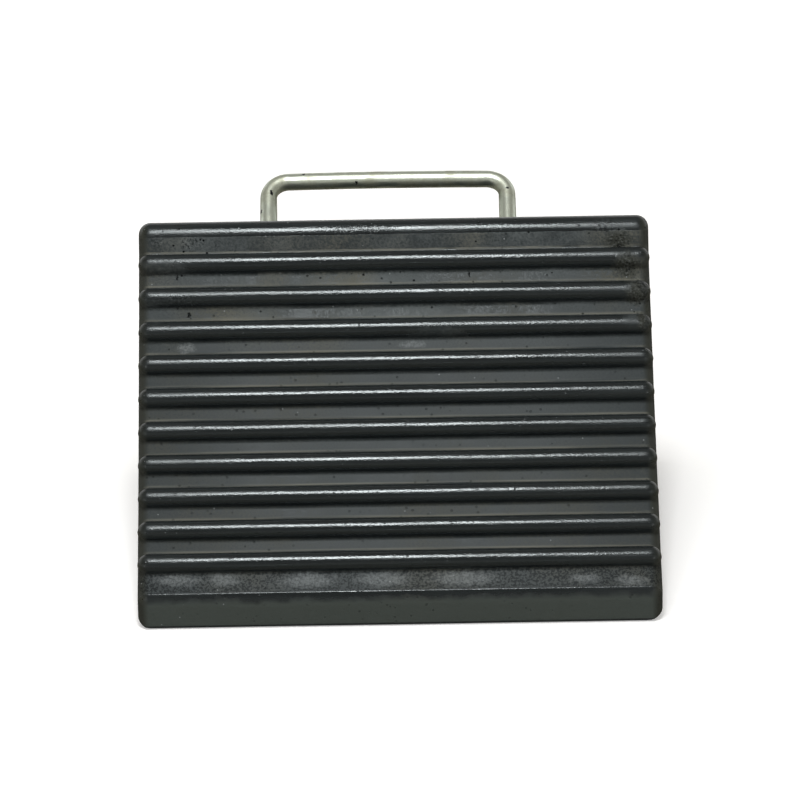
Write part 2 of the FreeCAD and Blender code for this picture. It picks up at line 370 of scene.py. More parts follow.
class ChockStudio(bpy.types.PropertyGroup):
    """Camera, lamps and floor."""

    camera_distance: FloatProperty(
        name="Distance", description="Distance of the camera from the point that it looks at",
        default=2.85, unit="LENGTH")
    camera_height: FloatProperty(
        name="Elevation", description="Angle of the camera above level",
        default=math.radians(21.95), unit="ROTATION")
    camera_turn: FloatProperty(
        name="Turn", description="Angle of the camera round the chock, towards +X",
        default=math.radians(-0.28), unit="ROTATION")
    camera_roll: FloatProperty(
        name="Roll", description="Angle by which the camera leans to its right",
        default=math.radians(0.834), unit="ROTATION")
    camera_lens: FloatProperty(
        name="Lens", description="Focal length in millimetres on a 36 mm sensor",
        default=263.57)
    camera_target: FloatVectorProperty(
        name="Target", description="Point that the camera looks at",
        default=(1.75 * MM, -0.1 * MM, 75.5 * MM), subtype="TRANSLATION")
    overhead_distance: FloatProperty(
        name="Overhead distance", description="Distance of the soft boxes overhead from the base's middle",
        default=1.5, unit="LENGTH")
    overhead_height: FloatProperty(
        name="Overhead elevation", description="Angle of the soft boxes overhead above level, in front",
        default=math.radians(71), unit="ROTATION")
    overhead_depth: FloatProperty(
        name="Overhead depth", description="Length of the soft boxes overhead from front to back",
        default=0.46, unit="LENGTH")
    overhead_width: FloatProperty(
        name="Overhead width", description="Width of the soft box overhead",
        default=0.56, unit="LENGTH")
    overhead_aside: FloatProperty(
        name="Overhead aside", description="Place of the soft box overhead along X",
        default=-0.14, unit="LENGTH")
    core_width: FloatProperty(
        name="Core width", description="Width of the brighter middle of the overhead box",
        default=0.14, unit="LENGTH")
    core_aside: FloatProperty(
        name="Core aside", description="Place of the brighter middle along X",
        default=-0.02, unit="LENGTH")
    spark_place: FloatVectorProperty(
        name="Side place", description="Place of the small lamp on the right; the left one mirrors it",
        default=(1.3, -1.6, 0.55), subtype="TRANSLATION")
    spark_size: FloatProperty(
        name="Side size", description="Width and height of each small lamp at the side",
        default=0.1, unit="LENGTH")
    overhead_light: FloatProperty(
        name="Overhead", description="Power of the soft box overhead, in watts",
        default=9.0, subtype="POWER")
    core_light: FloatProperty(
        name="Core", description="Power of the brighter middle of the overhead box, in watts",
        default=5.0, subtype="POWER")
    side_light: FloatProperty(
        name="Sides", description="Power of each small lamp at the side, in watts",
        default=1.5, subtype="POWER")
    floor_radius: FloatProperty(
        name="Floor", description="Radius of the pale floor",
        default=9.0, unit="LENGTH")


class ChockSettings(bpy.types.PropertyGroup):
    """All settings of the chock."""

    block: PointerProperty(name="Block", description="Sizes of the block", type=ChockBlockSizes)
    handle: PointerProperty(name="Handle", description="Sizes of the handle", type=ChockHandleSizes)
    colours: PointerProperty(name="Colours", description="Colours of the finishes", type=ChockColours)
    studio: PointerProperty(name="Studio", description="Camera, lamps and floor", type=ChockStudio)


# Points, lines and arcs in the block's side view, where a point is (y, z)

def shares(count):
    """Even shares of a stretch from 0 up to, but without, 1."""
    return np.arange(count) / count


def line(start, end, share):
    """Points on the straight line from start to end: start plus the share of the way to the end."""
    return start + np.outer(share, end - start)


def towards(angle):
    """Unit vector at an angle from +Y towards +Z."""
    return np.stack([np.cos(angle), np.sin(angle)], axis=-1)


def arc(centre, radius, first, last, share):
    """Points on an arc: centre plus radius in the direction of the share of the turn from first to last."""
    return centre + radius * towards(first + (last - first) * share)


def angle_of(vector):
    """Angle of a vector from +Y towards +Z."""
    return math.atan2(vector[1], vector[0])


def ramp_circle(sizes, toe_top, ramp_top):
    """Centre of the hollow ramp: above the chord's middle, where both ends are one radius away."""
    chord = ramp_top - toe_top
    across = np.array([-chord[1], chord[0]]) / np.linalg.norm(chord)
    depth = math.sqrt(sizes.ramp_radius ** 2 - (np.linalg.norm(chord) / 2) ** 2)
    return toe_top + chord / 2 + across * depth


def rib_offsets(sizes, way, ramp_length):
    """Distance of each place on the ramp from the middle line of the nearest rib."""
    room = ramp_length - sizes.top_rib_gap - sizes.toe_rib_gap
    last = math.floor(room / sizes.rib_pitch)
    nearest = np.clip(np.round((way - sizes.top_rib_gap) / sizes.rib_pitch), 0, last)
    return way - sizes.top_rib_gap - nearest * sizes.rib_pitch


def ribbed_shares(sizes, way_start, way_end, ramp_length, count):
    """Shares of the ramp that are evenly spaced along the ribbed surface, up and down over each rib."""
    fine = np.linspace(way_start, way_end, FINE_STEPS * count)
    offset = rib_offsets(sizes, fine, ramp_length)
    height = np.sqrt(np.maximum(sizes.rib_radius ** 2 - offset ** 2, 0))
    travelled = np.concatenate([[0], np.cumsum(np.hypot(np.diff(fine), np.diff(height)))])
    even = np.interp(travelled[-1] * shares(count), travelled, fine)
    return (even - way_start) / (way_end - way_start)


def block_profile(sizes):
    """The block's side profile as a closed ring, from the toe's foot over the top and down the rear.

    Each stretch is a line or an arc: its skin, its core, and then whether its side edge has the
    full rounding, whether it is in front and how far it is rubbed smooth. A point of the core lies
    one side rounding further in than the skin's, so that the side edges can turn about the core.
    Returns skin, core, how deep the side edge is rounded, the distance from the nearest rib,
    whether it is in front and how far it is rubbed smooth.
    """
    half = sizes.length / 2
    deep = sizes.side_radius
    foot = sizes.base_radius
    crease = sizes.toe_crease
    sweep = sizes.toe_sweep
    toe_top = np.array([-half, sizes.toe_height])
    nose = np.array([sizes.nose_setback - half, sizes.height - sizes.nose_radius])
    band_out = towards(QUARTER_TURN + sizes.band_slope)
    band_up = towards(sizes.band_slope)
    band_top = nose + band_out * sizes.nose_radius
    ramp_top = band_top - band_up * sizes.band_length
    circle = ramp_circle(sizes, toe_top, ramp_top)

    # Toe edge: a tight arc that touches the ramp, then a wide one that touches the toe face
    break_out = towards(HALF_TURN - sizes.toe_break)
    crease_y = sweep - half + (sweep - crease) * break_out[0]
    crease_z = circle[1] - math.sqrt((sizes.ramp_radius + crease) ** 2 - (crease_y - circle[0]) ** 2)
    crease_centre = np.array([crease_y, crease_z])
    sweep_centre = crease_centre - (sweep - crease) * break_out
    ramp_start = angle_of(crease_centre - circle)
    core_y = deep - half
    core_z = circle[1] - math.sqrt((sizes.ramp_radius + deep) ** 2 - (core_y - circle[0]) ** 2)
    toe_core = np.array([core_y, core_z])

    # Valley: a ball that touches the ramp and the steep band from outside
    start = ramp_top + band_out * sizes.valley_radius - circle
    along = start @ band_up
    slack = start @ start - (sizes.ramp_radius - sizes.valley_radius) ** 2
    valley = circle + start - band_up * (along + math.sqrt(along ** 2 - slack))
    ramp_end = angle_of(valley - circle)

    # Rear face: from the nose's circle to the foot
    rear_foot = np.array([half, 0])
    reach = rear_foot - nose
    rear_angle = angle_of(reach) + math.acos(sizes.nose_radius / np.linalg.norm(reach))
    rear_out = towards(rear_angle)
    heel = np.array([half - foot * (1 + rear_out[1]) / rear_out[0], foot])
    heel_core = np.array([half - (deep + foot * rear_out[1]) / rear_out[0], foot])
    toe_foot = np.array([foot - half, foot])
    foot_core = np.array([core_y, foot])

    ramp_top_angle = angle_of(ramp_top - circle)
    ramp_length = sizes.ramp_radius * (ramp_top_angle - angle_of(toe_top - circle))
    way_start = sizes.ramp_radius * (ramp_top_angle - ramp_start)
    way_end = sizes.ramp_radius * (ramp_top_angle - ramp_end)
    ramp_share = ribbed_shares(sizes, way_start, way_end, ramp_length, RAMP_STEPS)
    ramp_way = way_start + (way_end - way_start) * ramp_share
    offsets = rib_offsets(sizes, ramp_way, ramp_length)

    band_angle = angle_of(band_out)
    valley_last = angle_of(-band_out)
    few, some, many = shares(VALLEY_STEPS), shares(EDGE_STEPS), shares(NOSE_STEPS)
    down, under = shares(REAR_STEPS), shares(BASE_STEPS)
    ease = few ** 2 * (3 - 2 * few)
    stretches = [
        (line(toe_foot - [foot, 0], sweep_centre - [sweep, 0], some),
         line(foot_core, toe_core, some), 1, 1, 0),
        (arc(sweep_centre, sweep, HALF_TURN, HALF_TURN - sizes.toe_break, some),
         line(toe_core, toe_core, some), 1, 1, some * TOE_POLISH),
        (arc(crease_centre, crease, HALF_TURN - sizes.toe_break, ramp_start + HALF_TURN, few),
         line(toe_core, toe_core, few), 1, 1, TOE_POLISH),
        (arc(circle, sizes.ramp_radius, ramp_start, ramp_end, ramp_share),
         arc(circle, sizes.ramp_radius + deep, angle_of(toe_core - circle), ramp_end, ramp_share),
         1, 1, 0),
        (arc(valley, sizes.valley_radius, ramp_end, valley_last, few),
         arc(valley, sizes.valley_radius + deep, ramp_end, valley_last, few), 1, 1, VALLEY_POLISH),
        (line(valley - band_out * sizes.valley_radius, band_top, some),
         line(valley - band_out * (sizes.valley_radius + deep), band_top - band_out * deep, some),
         1, 1, BAND_POLISH),
        (arc(nose, sizes.nose_radius, band_angle, rear_angle, many),
         arc(nose, sizes.nose_radius - deep, band_angle, rear_angle, many), 1, 1, NOSE_POLISH),
        (line(nose + rear_out * sizes.nose_radius, heel + rear_out * foot, down),
         line(nose + rear_out * (sizes.nose_radius - deep), heel_core, down), 1, 0, 0),
        (arc(heel, foot, rear_angle, -QUARTER_TURN, few),
         line(heel_core, heel_core, few), 1 - ease, 0, 0),
        (line(heel - [0, foot], toe_foot - [0, foot], under),
         line(heel_core, foot_core, under), 0, 0, 0),
        (arc(toe_foot, foot, -QUARTER_TURN, -HALF_TURN, few),
         line(foot_core, foot_core, few), ease, 0, 0),
    ]
    skin = np.concatenate([stretch[0] for stretch in stretches])
    core = np.concatenate([stretch[1] for stretch in stretches])
    upper, front, polish = (
        np.concatenate([np.zeros(len(stretch[0])) + stretch[column] for stretch in stretches])
        for column in (2, 3, 4))
    offset = np.full(len(skin), FAR_AWAY)
    before = 2 * len(some) + len(few)
    offset[before:before + RAMP_STEPS] = offsets
    return skin, core, foot + (deep - foot) * upper, offset, front, polish


def smooth_union(first, second, reach):
    """The lesser of two distances, rounded off where they differ by less than reach."""
    overlap = np.maximum(reach - np.abs(first - second), 0) / reach
    return np.minimum(first, second) - overlap ** 2 * reach / 4


def skin_distance(sizes, side, out, offset):
    """Distance from the skin of wedge and ribs together.

    The wedge is a slab whose side edge is rounded; a rib is a bar with ball ends, which lies at
    the ramp's surface. side is measured from the middle, out from the ramp and offset from the rib.
    """
    deep = sizes.side_radius
    half = sizes.width / 2
    slab = np.hypot(np.maximum(side - (half - deep), 0), out + deep) - deep
    beyond = np.maximum(side - (half - sizes.rib_radius), 0)
    rib = np.sqrt(beyond ** 2 + out ** 2 + offset ** 2) - sizes.rib_radius
    return smooth_union(slab, rib, sizes.rib_foot)


def skin_reach(sizes, offset, turn):
    """How far the skin lies from the core, looking out at each turn from the ramp's normal to the side.

    The place where the distance changes sign is found by halving the search range again and again.
    """
    deep = sizes.side_radius
    low = np.zeros(np.broadcast(offset, turn).shape)
    high = low + deep + sizes.rib_radius + sizes.rib_foot
    for _ in range(HALVINGS):
        middle = (low + high) / 2
        side = sizes.width / 2 - deep + middle * np.sin(turn)
        inside = skin_distance(sizes, side, middle * np.cos(turn) - deep, offset) < 0
        low = np.where(inside, middle, low)
        high = np.where(inside, high, middle)
    return (low + high) / 2


def cloud(points, cell, seed):
    """Smooth random values from -1 to 1: random numbers on a lattice, blended with eased weights."""
    lattice = np.random.default_rng(seed).uniform(-1, 1, (LATTICE_SIZE,) * 3)
    scaled = points / np.asarray(cell)
    low = np.floor(scaled).astype(int)
    part = scaled - low
    part = part ** 2 * (3 - 2 * part)
    total = np.zeros(points.shape[:-1])
    for corner in np.ndindex(2, 2, 2):
        weight = np.prod(np.where(corner, part, 1 - part), axis=-1)
        spot = (low + corner) % LATTICE_SIZE
        total += weight * lattice[spot[..., 0], spot[..., 1], spot[..., 2]]
    return total


def unevenness(sizes, points, crest):
    """How far the skin lies under its true form: slow waves of the moulding and small wear on the ribs."""
    waves = cloud(points, WAVE_CELL, WAVE_SEED)
    wear = cloud(points, WEAR_CELL, WEAR_SEED)
    return -sizes.unevenness * (1 + waves + crest * (1 + wear)) / 2


def round_toe_corners(sizes, points):
    """Round the two corners where the toe face meets base and side.

    In the front view each corner is a quarter of an ellipse, wider on the right, where it is worn.
    A point outside the ellipse moves towards its centre until it lies on it. The rounding fades
    out along the base.
    """
    fade = np.clip(1 - (points[..., 1] + sizes.length / 2) / sizes.corner_fade, 0.001, 1)
    for side, wide in ((-1, sizes.left_corner), (1, sizes.right_corner)):
        reach = wide * fade
        tall = sizes.corner_height * fade
        inward = np.maximum(1 - (sizes.width / 2 - side * points[..., 0]) / reach, 0)
        below = np.maximum(1 - points[..., 2] / tall, 0)
        outside = np.maximum(np.hypot(inward, below), 1)
        points[..., 0] -= side * reach * (inward - inward / outside)
        points[..., 2] += tall * (below - below / outside)
    return points


def block_surface(sizes):
    """Points of the block on a grid: rows go round the side profile, columns from side to side.

    In the middle a point is its core point plus the skin's reach along the ramp's normal. At each
    side edge the reach turns from that normal to the side. Rings of the core's outline, shrunk
    towards one point, fill the flat sides.
    """
    skin, core, depth, offset, front, polish = block_profile(sizes)
    deep = sizes.side_radius
    half = sizes.width / 2
    turning = np.linspace(QUARTER_TURN, 0, TURN_STEPS + 1)[:-1]
    flat = np.zeros(ACROSS_STEPS + 1)
    turn = np.concatenate([turning, flat, turning[::-1]])
    place = np.concatenate([-np.ones(TURN_STEPS), np.linspace(-1, 1, ACROSS_STEPS + 1), np.ones(TURN_STEPS)])

    reach = skin_reach(sizes, offset[:, None], turn[None, :])
    outward = skin - core
    unit = outward / np.linalg.norm(outward, axis=1, keepdims=True)
    level = reach * np.cos(turn) / deep
    sideways = np.sign(place) * reach * np.sin(turn) / deep
    points = np.empty(reach.shape + (3,))
    points[..., 0] = place * (half - depth[:, None]) + sideways * depth[:, None]
    points[..., 1:] = core[:, None, :] + outward[:, None, :] * level[..., None]
    crest = np.clip((reach * np.cos(turn) - deep) / sizes.rib_radius, 0, 1)

    away = np.empty(points.shape)
    away[..., 0] = np.sign(place) * np.sin(turn)
    away[..., 1:] = unit[:, None, :] * np.cos(turn)[:, None]
    points += away * unevenness(sizes, points, crest)[..., None]

    ledge = np.exp(-((offset + sizes.rib_radius + sizes.ledge_reach) / sizes.ledge_width) ** 2)
    valley_start = int(np.flatnonzero(offset < FAR_AWAY)[-1]) + 1
    ledge[valley_start:valley_start + VALLEY_STEPS] = 1
    pole = np.array(POLE_SHARES) * (sizes.length, sizes.height)
    sides = []
    for sign in (-1, 1):
        ring = np.empty((len(core), len(RING_SHARES), 3))
        ring[..., 1:] = pole + (core - pole)[:, None, :] * RING_SHARES[:, None]
        ring[..., 0] = sign * half
        ring[..., 0] += sign * unevenness(sizes, ring, 0)
        sides.append(ring)
    whole = np.concatenate([sides[0], points, sides[1][:, ::-1]], axis=1)
    margin = ((0, 0), (len(RING_SHARES), len(RING_SHARES)))
    masks = {
        name: np.pad(np.broadcast_to(values, crest.shape), margin, constant_values=on_sides)
        for name, values, on_sides in (
            ("crest", crest, 0), ("turn", np.sin(turn), 1), ("front", front[:, None], 0),
            ("polish", polish[:, None], 0), ("ledge", ledge[:, None], 0))}
    return round_toe_corners(sizes, whole), masks


def grid_mesh(name, points, masks):
    """Mesh of a grid whose rows close into a ring: quads between neighbours, doubled points welded."""
    rows, columns = points.shape[:2]
    index = np.arange(rows * columns).reshape(rows, columns)
    following = np.roll(index, -1, axis=0)
    quads = np.stack([index[:, :-1], index[:, 1:], following[:, 1:], following[:, :-1]], axis=-1)
    mesh = bpy.data.meshes.new(name)
    mesh.from_pydata(points.reshape(-1, 3).tolist(), [], quads.reshape(-1, 4).tolist())
    for mask, values in masks.items():
        layer = mesh.attributes.new(mask, "FLOAT" if values.ndim == 2 else "FLOAT_VECTOR", "POINT")
        key = "value" if values.ndim == 2 else "vector"
        layer.data.foreach_set(key, np.ascontiguousarray(values, np.float32).ravel())
    welded = bmesh.new()
    welded.from_mesh(mesh)
    bmesh.ops.remove_doubles(welded, verts=welded.verts, dist=WELD_DISTANCE)
    welded.to_mesh(mesh)
    welded.free()
    mesh.polygons.foreach_set("use_smooth", np.ones(len(mesh.polygons), bool))
    mesh.update()
    return mesh


def add_piece(name, mesh, material, node):
    """Put a mesh in the scene as the piece that stands for a node of the frame."""
    piece = bpy.data.objects.new(name, mesh)
    bpy.context.scene.collection.objects.link(piece)
    mesh.materials.append(material)
    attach(piece, "root")
    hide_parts(node)
    return piece


def rod_path(sizes):
    """Middle line of the rod in its own plane, from foot to foot: straight runs and quarter bends.

    The bar's run is lifted by a flat parabola, its bow. Returns the points and how bent each is.
    """
    leg = sizes.leg_spacing / 2
    bend = sizes.bend_radius
    inner = leg - bend
    outer = leg + bend
    deep = -sizes.anchor_depth
    top = sizes.reach
    run, round_bend, bar = shares(RUN_STEPS), shares(BEND_STEPS), shares(BAR_STEPS)
    middle = line(np.array([-inner, top]), np.array([inner, top]), bar)
    middle[:, 1] += sizes.bow * (1 - (middle[:, 0] / inner) ** 2)
    stretches = [
        (line(np.array([-outer - sizes.anchor_length, deep]), np.array([-outer, deep]),
              shares(FOOT_STEPS)), 0),
        (arc(np.array([-outer, deep + bend]), bend, -QUARTER_TURN, 0, round_bend), 1),
        (line(np.array([-leg, deep + bend]), np.array([-leg, top - bend]), run), 0),
        (arc(np.array([-inner, top - bend]), bend, HALF_TURN, QUARTER_TURN, round_bend), 1),
        (middle, 0),
        (arc(np.array([inner, top - bend]), bend, QUARTER_TURN, 0, round_bend), 1),
        (line(np.array([leg, top - bend]), np.array([leg, deep + bend]), run), 0),
        (arc(np.array([outer, deep + bend]), bend, HALF_TURN, HALF_TURN + QUARTER_TURN,
             round_bend), 1),
        (line(np.array([outer, deep]), np.array([outer + sizes.anchor_length, deep]),
              np.linspace(0, 1, FOOT_STEPS + 1)), 0),
    ]
    points = np.concatenate([stretch[0] for stretch in stretches])
    bent = np.concatenate([np.full(len(stretch[0]), float(stretch[1])) for stretch in stretches])
    return points, bent


def rod_surface(sizes, rear_angle, half_length):
    """Points of the rod on a grid: rows go round it, columns along its middle line.

    A point is its place on the middle line plus the rod's radius in the direction of the angle
    round it. The bends are a little oval, as cold-bent rod is. Each end closes in one point.
    """
    path, bent = rod_path(sizes)
    along = np.gradient(path, axis=0)
    along /= np.linalg.norm(along, axis=1, keepdims=True)
    across = np.stack([-along[:, 1], along[:, 0]], axis=1)
    travelled = np.concatenate([[0], np.cumsum(np.linalg.norm(np.diff(path, axis=0), axis=1))])
    window = np.ones(2 * EASE_STEPS + 1)
    eased = np.convolve(np.pad(bent, EASE_STEPS, mode="edge"), window / len(window), mode="valid")

    angle = np.linspace(0, -2 * HALF_TURN, ROD_STEPS, endpoint=False)[:, None]
    radius = sizes.rod_diameter / 2
    oval = OVAL_SHARE * eased
    flat = radius * (1 - oval) * np.cos(angle)
    tall = radius * (1 + oval) * np.sin(angle)
    closed = np.ones(len(path))
    closed[[0, -1]] = 0
    flat = flat * closed
    tall = tall * closed

    rise = towards(sizes.rise)
    exit_y = half_length - sizes.exit_height * math.tan(rear_angle)
    level = path[:, 0] + flat * across[:, 0]
    outward = path[:, 1] + flat * across[:, 1]
    points = np.empty(flat.shape + (3,))
    points[..., 0] = level - sizes.shift
    points[..., 1] = exit_y + outward * rise[0] - tall * rise[1]
    points[..., 2] = sizes.exit_height + outward * rise[1] + tall * rise[0]
    unrolled = np.stack([np.broadcast_to(travelled, flat.shape), flat, tall], axis=-1)
    return points, {"unrolled": unrolled}


def add_node(tree, kind, inputs=(), **settings):
    """Add a node, make its settings, and give each input its value or link it to a socket."""
    node = tree.nodes.new(kind)
    for name, value in settings.items():
        setattr(node, name, value)
    for key, value in dict(inputs).items():
        if isinstance(value, bpy.types.NodeSocket):
            tree.links.new(value, node.inputs[key])
        else:
            node.inputs[key].default_value = value
    return node


def new_material(name):
    """An empty material with its tree and output."""
    material = bpy.data.materials.new(name)
    material.use_nodes = True
    tree = material.node_tree
    tree.nodes.clear()
    return material, tree


def soft_spot(tree, place, centre, size):
    """1 in an egg-shaped region, falling to 0 at its rim; centre and half sizes are in millimetres."""
    inside = add_node(tree, "ShaderNodeMapping", {"Vector": place, "Location": Vector(centre) * MM,
                      "Scale": Vector(size) * MM}, vector_type="TEXTURE").outputs[0]
    away = add_node(tree, "ShaderNodeVectorMath", {0: inside}, operation="LENGTH").outputs["Value"]
    return add_node(tree, "ShaderNodeMapRange", {"Value": away, "From Min": 1.0, "From Max": 0.45}).outputs[0]


def marked(tree, place, marks):
    """The strongest of several soft spots, each a centre and its half sizes."""
    strongest = soft_spot(tree, place, *marks[0])
    for mark in marks[1:]:
        strongest = add_node(tree, "ShaderNodeMath", {0: strongest, 1: soft_spot(tree, place, *mark)},
                             operation="MAXIMUM").outputs[0]
    return strongest


def strayed(tree, place, cell, reach, **noise):
    """The place, moved about by noise whose cells have that size; cell and reach are in millimetres."""
    inputs = {"Vector": place, "Scale": cells_per_metre(cell), **noise}
    random = add_node(tree, "ShaderNodeTexNoise", inputs).outputs["Color"]
    centred = add_node(tree, "ShaderNodeVectorMath", {0: random, 1: (0.5, 0.5, 0.5)},
                       operation="SUBTRACT").outputs[0]
    return add_node(tree, "ShaderNodeVectorMath", {0: centred, 1: Vector(reach) * MM, 2: place},
                    operation="MULTIPLY_ADD").outputs[0]


def skin_patterns(tree, skin):
    """Patterns of the moulding, each from a real size.

    Streaks run along the ribs, 60 mm long and 1.6 mm wide, and dents of 1.3 by 0.7 mm give the
    hammered look. Clouds of dust are 25 mm across, broken up by a grain of 1.2 mm, and soil lies in
    clouds of 60 mm. There is one pit in about each 4 mm where the clouds are thick, and one pale
    speck in about 8 mm.
    """
    streak_scale = (cells_per_metre(60), cells_per_metre(1.6), cells_per_metre(1.6))
    streak_place = add_node(tree, "ShaderNodeMapping", {"Vector": skin.place,
                            "Scale": streak_scale}).outputs[0]
    skin.streaks = add_node(tree, "ShaderNodeTexNoise", {"Vector": streak_place, "Scale": 1.0, "Detail": 4.0,
                            "Roughness": 0.6}).outputs["Fac"]
    dent_scale = (cells_per_metre(1.3), cells_per_metre(0.7), cells_per_metre(0.7))
    dent_place = add_node(tree, "ShaderNodeMapping", {"Vector": skin.place, "Scale": dent_scale}).outputs[0]
    skin.dents = add_node(tree, "ShaderNodeTexNoise", {"Vector": dent_place, "Scale": 1.0,
                          "Detail": 2.0}).outputs["Fac"]
    skin.clouds = add_node(tree, "ShaderNodeTexNoise", {"Vector": skin.place, "Scale": cells_per_metre(25),
                           "Detail": 4.0, "Roughness": 0.6}).outputs["Fac"]
    skin.grain = add_node(tree, "ShaderNodeTexNoise", {"Vector": skin.place, "Scale": cells_per_metre(1.2),
                          "Detail": 3.0, "Roughness": 0.7}).outputs["Fac"]
    soil = add_node(tree, "ShaderNodeTexNoise", {"Vector": skin.place, "Scale": cells_per_metre(60),
                    "Detail": 3.0}).outputs["Fac"]
    skin.soiled = add_node(tree, "ShaderNodeMapRange", {"Value": soil, "From Min": 0.42,
                           "From Max": 0.6}).outputs[0]
    pit_spots = add_node(tree, "ShaderNodeTexVoronoi", {"Vector": skin.place, "Scale": cells_per_metre(4)})
    pits = add_node(tree, "ShaderNodeMapRange", {"Value": pit_spots.outputs["Distance"], "From Min": 0.17,
                    "From Max": 0.12}).outputs[0]
    crowded = add_node(tree, "ShaderNodeMapRange", {"Value": skin.clouds, "From Min": 0.46,
                       "From Max": 0.54, "To Min": 0.2}).outputs[0]
    skin.pits = add_node(tree, "ShaderNodeMath", {0: pits, 1: crowded}, operation="MULTIPLY").outputs[0]
    speck_spots = add_node(tree, "ShaderNodeTexVoronoi", {"Vector": skin.place, "Scale": cells_per_metre(8)})
    skin.specks = add_node(tree, "ShaderNodeMapRange", {"Value": speck_spots.outputs["Distance"],
                           "From Min": 0.055, "From Max": 0.03}).outputs[0]


def skin_marks(tree, skin):
    """Local marks of use, with edges made ragged by noise, and the crumbs and cracks in broken skin."""
    ragged = strayed(tree, skin.place, 4, (9, 7, 7), Detail=4.0, Roughness=0.7)
    skin.torn = marked(tree, ragged, TORN_SKIN)
    skin.pitted = marked(tree, ragged, PITTED_SKIN)
    skin.dulled = marked(tree, ragged, DULL_SKIN)
    skin.settled = marked(tree, ragged, SETTLED_DUST)
    skin.scuffed = marked(tree, ragged, SCUFFS)
    gouged = marked(tree, strayed(tree, skin.place, 1.5, (2.5, 2.5, 2.5)), GOUGES)
    gouged = add_node(tree, "ShaderNodeMath", {0: gouged, 1: skin.grain, 2: -0.25},
                      operation="MULTIPLY_ADD").outputs[0]
    skin.gouged = add_node(tree, "ShaderNodeMath", {0: gouged, 1: 4.0}, operation="MULTIPLY",
                           use_clamp=True).outputs[0]

    broken = add_node(tree, "ShaderNodeMath", {0: skin.torn, 1: skin.pitted}, operation="MAXIMUM").outputs[0]
    crumbs = add_node(tree, "ShaderNodeMapRange", {"Value": skin.grain, "From Min": 0.54,
                      "From Max": 0.64}).outputs[0]
    skin.crumbs = add_node(tree, "ShaderNodeMath", {0: crumbs, 1: broken}, operation="MULTIPLY").outputs[0]
    cracks = add_node(tree, "ShaderNodeMapRange", {"Value": skin.grain, "From Min": 0.47, "From Max": 0.38,
                      "To Max": 0.75}).outputs[0]
    skin.cracks = add_node(tree, "ShaderNodeMath", {0: cracks, 1: broken}, operation="MULTIPLY").outputs[0]


def skin_regions(tree, skin):
    """Where the skin is bare of ribs and where it is smooth, how high up it lies, and the toe's strip.

    The ribs are rubbed smooth. So are the nose and the toe's edge, with a ragged border. What is
    dulled is less smooth.
    """
    on_rib = add_node(tree, "ShaderNodeMapRange", {"Value": skin.crest, "From Min": 0.05,
                      "From Max": 0.35}).outputs[0]
    skin.bare = add_node(tree, "ShaderNodeMath", {0: 1.0, 1: on_rib}, operation="SUBTRACT").outputs[0]
    border = add_node(tree, "ShaderNodeTexNoise", {"Vector": skin.place, "Scale": cells_per_metre(9),
                      "Detail": 3.0}).outputs["Fac"]
    border = add_node(tree, "ShaderNodeMath", {0: skin.polish, 1: border}, operation="ADD").outputs[0]
    rubbed = add_node(tree, "ShaderNodeMapRange", {"Value": border, "From Min": 0.8,
                      "From Max": 1.15}).outputs[0]
    smooth = add_node(tree, "ShaderNodeMath", {0: on_rib, 1: rubbed}, operation="MAXIMUM").outputs[0]
    keen = add_node(tree, "ShaderNodeMapRange", {"Value": skin.dulled, "To Min": 1.0,
                    "To Max": 0.25}).outputs[0]
    skin.smooth = add_node(tree, "ShaderNodeMath", {0: smooth, 1: keen}, operation="MULTIPLY").outputs[0]
    skin.upper = add_node(tree, "ShaderNodeMapRange", {"Value": skin.height, "From Min": DUST_STARTS,
                          "From Max": DUST_FULL, "To Min": 0.35}).outputs[0]
    strip = add_node(tree, "ShaderNodeMapRange", {"Value": skin.height, "From Min": STRIP_TOP,
                     "From Max": STRIP_TOP - STRIP_FADE}).outputs[0]
    low_end = add_node(tree, "ShaderNodeMapRange", {"Value": skin.height, "From Min": STRIP_FOOT,
                       "From Max": STRIP_FOOT + STRIP_FOOT_FADE}).outputs[0]
    strip = add_node(tree, "ShaderNodeMath", {0: strip, 1: low_end}, operation="MULTIPLY").outputs[0]
    skin.strip = add_node(tree, "ShaderNodeMath", {0: strip, 1: skin.bare}, operation="MULTIPLY").outputs[0]


def skin_hole_shade_and_speckle(tree, skin):
    """Painted shade in pits in the flats, gouges and cracks, and the dark speckle of the strip above the toe.
    """
    speckle = add_node(tree, "ShaderNodeMapRange", {"Value": skin.grain, "From Min": 0.52,
                       "From Max": 0.47}).outputs[0]
    speckle = add_node(tree, "ShaderNodeMath", {0: speckle, 1: skin.strip}, operation="MULTIPLY").outputs[0]
    clear = add_node(tree, "ShaderNodeMapRange", {"Value": skin.scuffed, "To Min": 0.6,
                     "To Max": 0.1}).outputs[0]
    speckle = add_node(tree, "ShaderNodeMath", {0: speckle, 1: clear}, operation="MULTIPLY").outputs[0]
    hole_shade_and_speckle = add_node(tree, "ShaderNodeMath", {0: skin.pits, 1: skin.upper}, operation="MULTIPLY").outputs[0]
    hole_shade_and_speckle = add_node(tree, "ShaderNodeMath", {0: hole_shade_and_speckle, 1: skin.bare}, operation="MULTIPLY").outputs[0]
    for mark in (skin.gouged, skin.cracks, speckle):
        hole_shade_and_speckle = add_node(tree, "ShaderNodeMath", {0: hole_shade_and_speckle, 1: mark}, operation="MAXIMUM").outputs[0]
    return add_node(tree, "ShaderNodeMath", {0: hole_shade_and_speckle, 1: skin.front}, operation="MULTIPLY").outputs[0]


